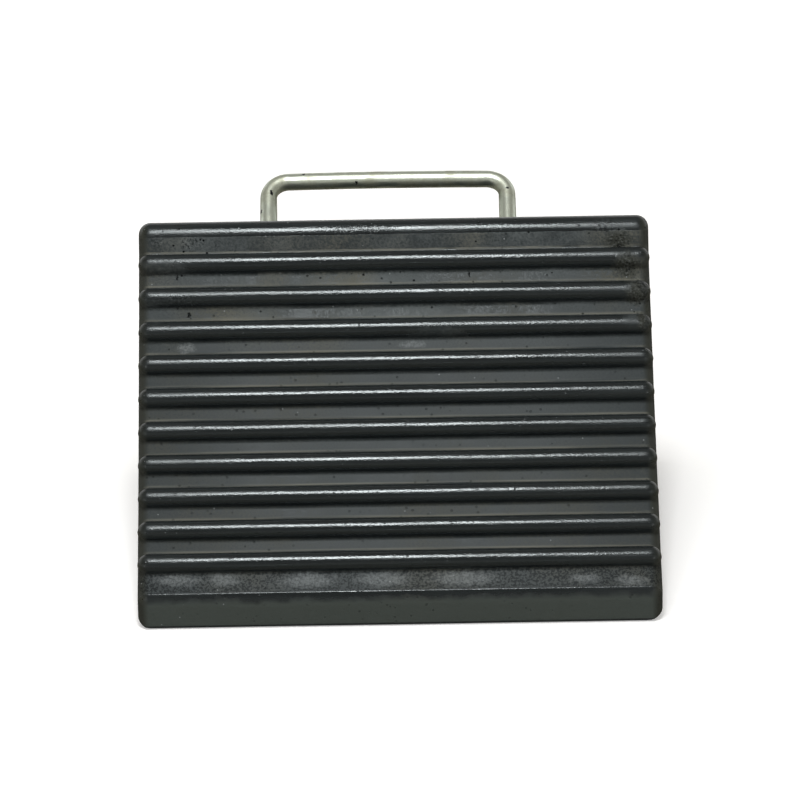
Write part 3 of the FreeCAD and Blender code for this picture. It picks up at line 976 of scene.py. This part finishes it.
def skin_pale_marks(tree, skin):
    """What is pale: scuffs between the ribs, crumbs of broken skin and single specks."""
    haze = add_node(tree, "ShaderNodeMapRange", {"Value": skin.grain, "From Min": 0.36, "From Max": 0.62,
                    "To Min": 0.06, "To Max": 0.36}).outputs[0]
    haze = add_node(tree, "ShaderNodeMath", {0: haze, 1: skin.scuffed}, operation="MULTIPLY").outputs[0]
    haze = add_node(tree, "ShaderNodeMath", {0: haze, 1: skin.bare}, operation="MULTIPLY").outputs[0]
    haze = add_node(tree, "ShaderNodeMath", {0: skin.crumbs, 1: 0.18, 2: haze},
                    operation="MULTIPLY_ADD").outputs[0]
    specks = add_node(tree, "ShaderNodeMath", {0: skin.specks, 1: skin.front},
                      operation="MULTIPLY").outputs[0]
    specks = add_node(tree, "ShaderNodeMath", {0: specks, 1: skin.bare}, operation="MULTIPLY").outputs[0]
    return add_node(tree, "ShaderNodeMath", {0: specks, 1: 0.6, 2: haze}, operation="MULTIPLY_ADD",
                    use_clamp=True).outputs[0]


def flats_colour(tree, skin, colours):
    """Matt rubber under dust, which lies most on the upper flats, and a pale line above each rib that is dust
    with a painted glint.

    The upright toe is painted a lighter greenish grey, for the floor's light on it.
    """
    dusty = add_node(tree, "ShaderNodeMath", {0: skin.clouds, 1: skin.grain}, operation="MULTIPLY").outputs[0]
    dusty = add_node(tree, "ShaderNodeMapRange", {"Value": dusty, "From Min": 0.17,
                     "From Max": 0.34}).outputs[0]
    dusty = add_node(tree, "ShaderNodeMath", {0: dusty, 1: skin.upper}, operation="MULTIPLY").outputs[0]
    dusty = add_node(tree, "ShaderNodeMath", {0: skin.settled, 1: skin.grain, 2: dusty},
                     operation="MULTIPLY_ADD").outputs[0]
    dusty = add_node(tree, "ShaderNodeMath", {0: dusty, 1: skin.front}, operation="MULTIPLY",
                     use_clamp=True).outputs[0]
    dust = add_node(tree, "ShaderNodeMix", {0: skin.soiled, 6: (*colours.dust, 1), 7: (*colours.soil, 1)},
                    data_type="RGBA").outputs[2]
    flats = add_node(tree, "ShaderNodeMix", {0: dusty, 6: (*colours.flat_rubber, 1), 7: dust},
                     data_type="RGBA").outputs[2]

    # Painted glint: a pale tan line above each rib and in the valley, partly dust
    line_dust_and_glint = add_node(tree, "ShaderNodeMapRange", {"Value": skin.streaks, "From Min": 0.35,
                         "From Max": 0.6, "To Max": 0.55}).outputs[0]
    line_dust_and_glint = add_node(tree, "ShaderNodeMath", {0: line_dust_and_glint, 1: skin.ledge},
                         operation="MULTIPLY").outputs[0]
    line_dust_and_glint = add_node(tree, "ShaderNodeMath", {0: line_dust_and_glint, 1: skin.front}, operation="MULTIPLY",
                         use_clamp=True).outputs[0]
    flats = add_node(tree, "ShaderNodeMix", {0: line_dust_and_glint, 6: flats, 7: (*colours.ledge_dust_and_glint, 1)},
                     data_type="RGBA").outputs[2]

    # Painted light: the upright toe face is lighter, for the floor's light on it
    toe = add_node(tree, "ShaderNodeMapRange", {"Value": skin.height, "From Min": TOE_TOP,
                   "From Max": TOE_TOP - TOE_FADE}).outputs[0]
    toe = add_node(tree, "ShaderNodeMath", {0: toe, 1: skin.front}, operation="MULTIPLY").outputs[0]
    return add_node(tree, "ShaderNodeMix", {0: toe, 6: flats, 7: (*colours.lit_toe_rubber, 1)},
                    data_type="RGBA").outputs[2]


def skin_colour(tree, skin, colours, hole_shade_and_speckle):
    """Flats and ribs, the painted dark olive shade of the edges and sides, which torn skin shares, then the
    painted shade of pits and the pale marks.
    """
    ribs = add_node(tree, "ShaderNodeMix", {0: skin.streaks, 6: (*colours.rib_rubber_and_hole_shade, 1),
                    7: (*colours.flat_rubber, 1)}, data_type="RGBA").outputs[2]
    colour = add_node(tree, "ShaderNodeMix", {0: skin.smooth, 6: flats_colour(tree, skin, colours), 7: ribs},
                      data_type="RGBA").outputs[2]
    # Painted shade: side edges and sides turn dark olive as they face away; torn skin shares the colour
    edges = add_node(tree, "ShaderNodeMapRange", {"Value": skin.turn, "From Min": 0.1,
                     "From Max": 0.6}).outputs[0]
    edges = add_node(tree, "ShaderNodeMath", {0: edges, 1: skin.torn}, operation="MAXIMUM").outputs[0]
    colour = add_node(tree, "ShaderNodeMix", {0: edges, 6: colour, 7: (*colours.edge_shade_and_torn_rubber, 1)},
                      data_type="RGBA").outputs[2]
    # Painted shade: pits, gouges and cracks darkened to the ribs' black
    colour = add_node(tree, "ShaderNodeMix", {0: hole_shade_and_speckle, 6: colour, 7: (*colours.rib_rubber_and_hole_shade, 1)},
                      data_type="RGBA").outputs[2]
    return add_node(tree, "ShaderNodeMix", {0: skin_pale_marks(tree, skin), 6: colour,
                    7: (*colours.scuff, 1)}, data_type="RGBA").outputs[2]


def skin_roughness(tree, skin):
    """Matt flats, patchy where they are worn, and shining ribs, all duller towards the sides."""
    far = add_node(tree, "ShaderNodeMath", {0: skin.across}, operation="ABSOLUTE").outputs[0]
    dull_ends = add_node(tree, "ShaderNodeMapRange", {"Value": far, "From Min": DULL_STARTS,
                         "From Max": DULL_FULL, "To Max": 0.12}).outputs[0]
    mottled = add_node(tree, "ShaderNodeMix", {0: 0.5, 2: skin.clouds, 3: skin.grain}).outputs[0]
    even = add_node(tree, "ShaderNodeMapRange", {"Value": mottled, "From Min": 0.35, "From Max": 0.65,
                    "To Min": 0.52, "To Max": 0.68}).outputs[0]
    patchy = add_node(tree, "ShaderNodeMapRange", {"Value": mottled, "From Min": 0.42, "From Max": 0.58,
                      "To Min": 0.47, "To Max": 0.78}).outputs[0]
    worn_flats = add_node(tree, "ShaderNodeMapRange", {"Value": skin.height, "From Min": WORN_STARTS,
                          "From Max": WORN_FULL}).outputs[0]
    matt = add_node(tree, "ShaderNodeMix", {0: worn_flats, 2: even, 3: patchy}).outputs[0]
    matt = add_node(tree, "ShaderNodeMath", {0: matt, 1: dull_ends}, operation="ADD").outputs[0]
    shiny = add_node(tree, "ShaderNodeMapRange", {"Value": skin.streaks, "From Min": 0.32, "From Max": 0.68,
                     "To Min": 0.11, "To Max": 0.3}).outputs[0]
    shiny = add_node(tree, "ShaderNodeMath", {0: shiny, 1: dull_ends}, operation="ADD").outputs[0]
    roughness = add_node(tree, "ShaderNodeMix", {0: skin.smooth, 2: matt, 3: shiny}).outputs[0]
    worn = add_node(tree, "ShaderNodeMath", {0: skin.torn, 1: 0.9}, operation="MULTIPLY").outputs[0]
    return add_node(tree, "ShaderNodeMix", {0: worn, 2: roughness, 3: 0.75}).outputs[0]


def skin_relief(tree, skin):
    """Grain on the flats, dents on what is rubbed smooth, pits and gouges, and grain again on broken skin."""
    coarse = add_node(tree, "ShaderNodeMath", {0: skin.upper, 1: skin.upper}, operation="MULTIPLY").outputs[0]
    coarse = add_node(tree, "ShaderNodeMath", {0: coarse, 1: skin.grain}, operation="MULTIPLY").outputs[0]
    fine = add_node(tree, "ShaderNodeMath", {0: skin.grain, 1: 0.2, 2: coarse},
                    operation="MULTIPLY_ADD").outputs[0]
    dented = add_node(tree, "ShaderNodeMath", {0: skin.dents, 1: 0.6}, operation="MULTIPLY").outputs[0]
    relief = add_node(tree, "ShaderNodeMix", {0: skin.smooth, 2: fine, 3: dented}).outputs[0]
    relief = add_node(tree, "ShaderNodeMath", {0: relief, 1: skin.pits}, operation="SUBTRACT").outputs[0]
    relief = add_node(tree, "ShaderNodeMath", {0: skin.gouged, 1: -3.0, 2: relief},
                      operation="MULTIPLY_ADD").outputs[0]
    broken = add_node(tree, "ShaderNodeMath", {0: skin.torn, 1: 4.0, 2: skin.pitted},
                      operation="MULTIPLY_ADD").outputs[0]
    relief = add_node(tree, "ShaderNodeMath", {0: broken, 1: skin.grain, 2: relief},
                      operation="MULTIPLY_ADD").outputs[0]
    return add_node(tree, "ShaderNodeBump", {"Height": relief, "Strength": 0.7,
                    "Distance": 0.2 * MM}).outputs[0]


def moulded_rubber(colours):
    """Compression-moulded carbon-black rubber.

    The mould's steel gives the flats a matt, faintly pitted skin in which pale mould dust stays.
    The ribs and the nose are rubbed smooth, so they are blacker and shine in streaks along their
    length, with a finely hammered look. The rounded edges and the sides are painted a dark olive
    shade, which the torn skin shares. The strip above the toe is scuffed to a whitish haze, and near
    the top right corner the skin is torn. Pits, gouges and cracks are painted dark as their shade, the
    upright toe is painted lighter for the floor's light on it, and the pale line above each rib is dust
    with a painted glint.
    """
    material, tree = new_material("compression_moulded_rubber")
    skin = SimpleNamespace()
    skin.place = add_node(tree, "ShaderNodeTexCoord").outputs["Object"]
    skin.across, _, skin.height = add_node(tree, "ShaderNodeSeparateXYZ", {0: skin.place}).outputs
    for name in ("crest", "turn", "front", "polish", "ledge"):
        setattr(skin, name, add_node(tree, "ShaderNodeAttribute", attribute_name=name).outputs["Fac"])
    skin_patterns(tree, skin)
    skin_marks(tree, skin)
    skin_regions(tree, skin)

    # No light comes back as gloss from the depth of a hole, and its shade is painted into the colour
    hole_shade_and_speckle = skin_hole_shade_and_speckle(tree, skin)
    gloss = add_node(tree, "ShaderNodeMapRange", {"Value": hole_shade_and_speckle, "To Min": 0.5, "To Max": 0.06}).outputs[0]
    # Specular Tint paints the bluish tint of the reflected light into the gloss
    shader = add_node(tree, "ShaderNodeBsdfPrincipled", {
        "Base Color": skin_colour(tree, skin, colours, hole_shade_and_speckle), "Roughness": skin_roughness(tree, skin),
        "Normal": skin_relief(tree, skin), "IOR": 1.52, "Specular IOR Level": gloss,
        "Specular Tint": (*GREEN_GLOSS, 1)})
    add_node(tree, "ShaderNodeOutputMaterial", {"Surface": shader.outputs[0]})
    return material


def zinc_plated_steel(colours):
    """Drawn steel rod with bright zinc plating.

    Drawing leaves fine lines along the rod, 25 mm long and 0.7 mm wide, which stretch its
    highlights. Handling has dulled the plating in patches of 9 mm and left dark nicks.
    """
    material, tree = new_material("bright_zinc_plated_steel")
    unrolled = add_node(tree, "ShaderNodeAttribute", attribute_name="unrolled").outputs["Vector"]
    line_scale = (cells_per_metre(25), cells_per_metre(0.7), cells_per_metre(0.7))
    line_place = add_node(tree, "ShaderNodeMapping", {"Vector": unrolled, "Scale": line_scale}).outputs[0]
    lines = add_node(tree, "ShaderNodeTexNoise", {"Vector": line_place, "Scale": 1.0,
                     "Detail": 3.0}).outputs["Fac"]
    patches = add_node(tree, "ShaderNodeTexNoise", {"Vector": unrolled, "Scale": cells_per_metre(9),
                       "Detail": 4.0, "Roughness": 0.6}).outputs["Fac"]
    dulled = add_node(tree, "ShaderNodeMapRange", {"Value": patches, "From Min": 0.42,
                      "From Max": 0.66}).outputs[0]
    colour = add_node(tree, "ShaderNodeMix", {0: dulled, 6: (*colours.zinc, 1), 7: (*colours.worn_zinc, 1)},
                      data_type="RGBA").outputs[2]
    place = add_node(tree, "ShaderNodeTexCoord").outputs["Object"]
    nicked = marked(tree, strayed(tree, place, 1.2, (2, 2, 2)), NICKS)
    nicked = add_node(tree, "ShaderNodeMath", {0: nicked, 1: patches, 2: -0.2},
                      operation="MULTIPLY_ADD").outputs[0]
    nicked = add_node(tree, "ShaderNodeMath", {0: nicked, 1: 8.0}, operation="MULTIPLY",
                      use_clamp=True).outputs[0]
    colour = add_node(tree, "ShaderNodeMix", {0: nicked, 6: colour, 7: (*colours.nick, 1)},
                      data_type="RGBA").outputs[2]
    roughness = add_node(tree, "ShaderNodeMapRange", {"Value": lines, "To Min": 0.27,
                         "To Max": 0.45}).outputs[0]
    roughness = add_node(tree, "ShaderNodeMath", {0: dulled, 1: 0.2, 2: roughness},
                         operation="MULTIPLY_ADD").outputs[0]
    bump = add_node(tree, "ShaderNodeBump", {"Height": lines, "Strength": 0.3,
                    "Distance": 0.05 * MM}).outputs[0]
    shader = add_node(tree, "ShaderNodeBsdfPrincipled", {"Base Color": colour, "Roughness": roughness,
                      "Normal": bump, "Metallic": 1.0})
    add_node(tree, "ShaderNodeOutputMaterial", {"Surface": shader.outputs[0]})
    return material


def background_rays(tree, reflected):
    """1 for the rays that show the background straight or through glass, and a share of those reflected."""
    path = add_node(tree, "ShaderNodeLightPath")
    mirrored = add_node(tree, "ShaderNodeMath", {0: path.outputs["Is Glossy Ray"], 1: reflected},
                        operation="MULTIPLY").outputs[0]
    seen = add_node(tree, "ShaderNodeMath", {0: path.outputs["Is Camera Ray"], 1: mirrored},
                    operation="MAXIMUM").outputs[0]
    return add_node(tree, "ShaderNodeMath", {0: seen, 1: path.outputs["Is Transmission Ray"]},
                    operation="MAXIMUM").outputs[0]


def pale_floor():
    """Matt white paper: evenly pale, so that only the chock's soft shadow marks it.

    The camera sees it lifted to white by a glow, which is less near the chock. In reflections it
    is dim, so that the undersides of the ribs stay dark.
    """
    material, tree = new_material("matt_white_paper")
    place = add_node(tree, "ShaderNodeTexCoord").outputs["Object"]
    away = add_node(tree, "ShaderNodeVectorMath", {0: place}, operation="LENGTH").outputs["Value"]
    glow = add_node(tree, "ShaderNodeMapRange", {"Value": away, "From Min": 0.2, "From Max": 0.9,
                    "To Min": 0.38, "To Max": 0.62}).outputs[0]
    glow = add_node(tree, "ShaderNodeMath", {0: background_rays(tree, 0.0), 1: glow},
                    operation="MULTIPLY").outputs[0]
    mirrored = add_node(tree, "ShaderNodeLightPath").outputs["Is Glossy Ray"]
    tone = add_node(tree, "ShaderNodeMix", {0: mirrored, 6: (*linear(PAPER), 1),
                    7: (*linear(PAPER_MIRRORED), 1)}, data_type="RGBA").outputs[2]
    paper = add_node(tree, "ShaderNodeBsdfDiffuse", {"Color": tone}).outputs[0]
    lift = add_node(tree, "ShaderNodeEmission", {"Strength": glow}).outputs[0]
    both = add_node(tree, "ShaderNodeAddShader", {0: paper, 1: lift}).outputs[0]
    add_node(tree, "ShaderNodeOutputMaterial", {"Surface": both})
    return material


def studio_room():
    """World: a dim, slightly warm room that the camera sees as white.

    In reflections it is white only low behind the chock, and elsewhere dim, more so higher up.
    """
    world = bpy.data.worlds.new("white_studio")
    world.use_nodes = True
    tree = world.node_tree
    tree.nodes.clear()
    direction = add_node(tree, "ShaderNodeTexCoord").outputs["Generated"]
    _, behind, above = add_node(tree, "ShaderNodeSeparateXYZ", {0: direction}).outputs
    behind = add_node(tree, "ShaderNodeMapRange", {"Value": behind, "From Min": 0.1,
                      "From Max": 0.6}).outputs[0]
    low = add_node(tree, "ShaderNodeMapRange", {"Value": above, "From Min": 0.6, "From Max": 0.3}).outputs[0]
    backdrop = add_node(tree, "ShaderNodeMath", {0: behind, 1: low}, operation="MULTIPLY").outputs[0]
    path = add_node(tree, "ShaderNodeLightPath")
    mirrored = add_node(tree, "ShaderNodeMapRange", {"Value": above, "From Max": 0.45,
                        "To Min": HORIZON_MIRRORED, "To Max": CEILING_MIRRORED}).outputs[0]
    dim = add_node(tree, "ShaderNodeMix", {0: path.outputs["Is Glossy Ray"], 2: ROOM_LIGHT,
                   3: mirrored}).outputs[0]
    room = add_node(tree, "ShaderNodeBackground", {"Color": ROOM_TINT, "Strength": dim}).outputs[0]
    white = add_node(tree, "ShaderNodeBackground", {"Color": (1, 1, 1, 1), "Strength": 1.0}).outputs[0]
    both = add_node(tree, "ShaderNodeMixShader", {0: background_rays(tree, backdrop), 1: room,
                    2: white}).outputs[0]
    add_node(tree, "ShaderNodeOutputWorld", {"Surface": both})
    return world


def aim(thing, place, target, roll=0.0):
    """Put a camera or lamp at a place, looking at the target, leaning by roll about its line of sight."""
    thing.location = place
    turn = (Vector(target) - Vector(place)).to_track_quat("-Z", "Y").to_matrix()
    thing.rotation_euler = (turn @ Matrix.Rotation(-roll, 3, "Z")).to_euler()


def add_lamp(name, place, target, width, depth, power):
    """A rectangular soft box."""
    lamp = bpy.data.lights.new(name, "AREA")
    lamp.shape = "RECTANGLE"
    lamp.size = width
    lamp.size_y = depth
    lamp.energy = power
    holder = bpy.data.objects.new(name, lamp)
    bpy.context.scene.collection.objects.link(holder)
    aim(holder, place, target)
    return holder


class CHOCK_OT_moulded_block(bpy.types.Operator):
    """Build the moulded rubber block with its ribbed ramp"""

    bl_idname = "chock.moulded_block"
    bl_label = "Moulded block"

    def execute(self, context):
        settings = context.scene.chock
        points, masks = block_surface(settings.block)
        mesh = grid_mesh("block_skin", points, masks)
        rubber = moulded_rubber(settings.colours)
        add_piece("block_skin", mesh, rubber, "rubber_block")
        return {"FINISHED"}


class CHOCK_OT_carry_handle(bpy.types.Operator):
    """Build the bent steel rod that carries the chock"""

    bl_idname = "chock.carry_handle"
    bl_label = "Carry handle"

    def execute(self, context):
        settings = context.scene.chock
        block = settings.block
        nose = np.array([block.nose_setback - block.length / 2, block.height - block.nose_radius])
        reach = np.array([block.length / 2, 0]) - nose
        rear_angle = angle_of(reach) + math.acos(block.nose_radius / np.linalg.norm(reach))
        points, masks = rod_surface(settings.handle, rear_angle, block.length / 2)
        mesh = grid_mesh("handle_rod", points, masks)
        zinc = zinc_plated_steel(settings.colours)
        add_piece("handle_rod", mesh, zinc, "carry_handle")
        return {"FINISHED"}


class CHOCK_OT_studio(bpy.types.Operator):
    """Set up the pale floor, the soft lamps and the camera"""

    bl_idname = "chock.studio"
    bl_label = "Studio"

    def execute(self, context):
        scene = context.scene
        studio = scene.chock.studio
        block = scene.chock.block
        middle = Vector((0, 0, block.height / 2))

        turn = np.linspace(0, 2 * HALF_TURN, FLOOR_STEPS, endpoint=False)
        rim = np.full((FLOOR_STEPS, 3), -FLOOR_DROP)
        rim[:, :2] = towards(turn) * studio.floor_radius
        mesh = bpy.data.meshes.new("paper_floor")
        mesh.from_pydata(rim.tolist(), [], [list(range(FLOOR_STEPS))])
        mesh.materials.append(pale_floor())
        floor = bpy.data.objects.new("paper_floor", mesh)
        scene.collection.objects.link(floor)

        overhead = towards(studio.overhead_height) * studio.overhead_distance
        for name, aside, width, power in (
                ("overhead_box", studio.overhead_aside, studio.overhead_width, studio.overhead_light),
                ("overhead_core", studio.core_aside, studio.core_width, studio.core_light)):
            place = (aside, -overhead[0], overhead[1])
            add_lamp(name, place, middle, width, studio.overhead_depth, power)
        for name, side in (("left_spark", -1), ("right_spark", 1)):
            place = studio.spark_place * Vector((side, 1, 1))
            add_lamp(name, place, middle, studio.spark_size, studio.spark_size, studio.side_light)
        scene.world = studio_room()
        scene.view_settings.view_transform = "Standard"

        camera = bpy.data.cameras.new("product_camera")
        camera.lens = studio.camera_lens
        camera.clip_end = FAR_CLIP
        holder = bpy.data.objects.new("product_camera", camera)
        scene.collection.objects.link(holder)
        back = Vector((
            math.sin(studio.camera_turn) * math.cos(studio.camera_height),
            -math.cos(studio.camera_turn) * math.cos(studio.camera_height),
            math.sin(studio.camera_height)))
        eye = studio.camera_target + back * studio.camera_distance
        aim(holder, eye, studio.camera_target, studio.camera_roll)
        scene.camera = holder
        return {"FINISHED"}


class CHOCK_PT_panel(bpy.types.Panel):
    """Lists the chock's pieces and the studio"""

    bl_idname = "CHOCK_PT_panel"
    bl_label = "Wheel chock"
    bl_space_type = "VIEW_3D"
    bl_region_type = "UI"
    bl_category = "Chock"

    def draw(self, context):
        for operator in OPERATORS:
            self.layout.operator(operator.bl_idname)
        for group in ("block", "handle", "colours", "studio"):
            box = self.layout.box()
            settings = getattr(context.scene.chock, group)
            for name in settings.bl_rna.properties.keys():
                if name not in ("rna_type", "name"):
                    box.prop(settings, name)


GROUPS = (ChockBlockSizes, ChockHandleSizes, ChockColours, ChockStudio, ChockSettings)
OPERATORS = (CHOCK_OT_moulded_block, CHOCK_OT_carry_handle, CHOCK_OT_studio)
CLASSES = GROUPS + OPERATORS + (CHOCK_PT_panel,)


def register():
    """Make the classes known to Blender and hang the settings on the scene."""
    for kind in CLASSES:
        bpy.utils.register_class(kind)
    bpy.types.Scene.chock = PointerProperty(
        name="Chock", description="Settings of the wheel chock", type=ChockSettings)


def unregister():
    """Take away what register made known."""
    del bpy.types.Scene.chock
    for kind in reversed(CLASSES):
        bpy.utils.unregister_class(kind)


def main():
    """Register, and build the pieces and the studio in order."""
    register()
    bpy.ops.chock.moulded_block()
    bpy.ops.chock.carry_handle()
    bpy.ops.chock.studio()


if __name__ == "__main__":
    main()
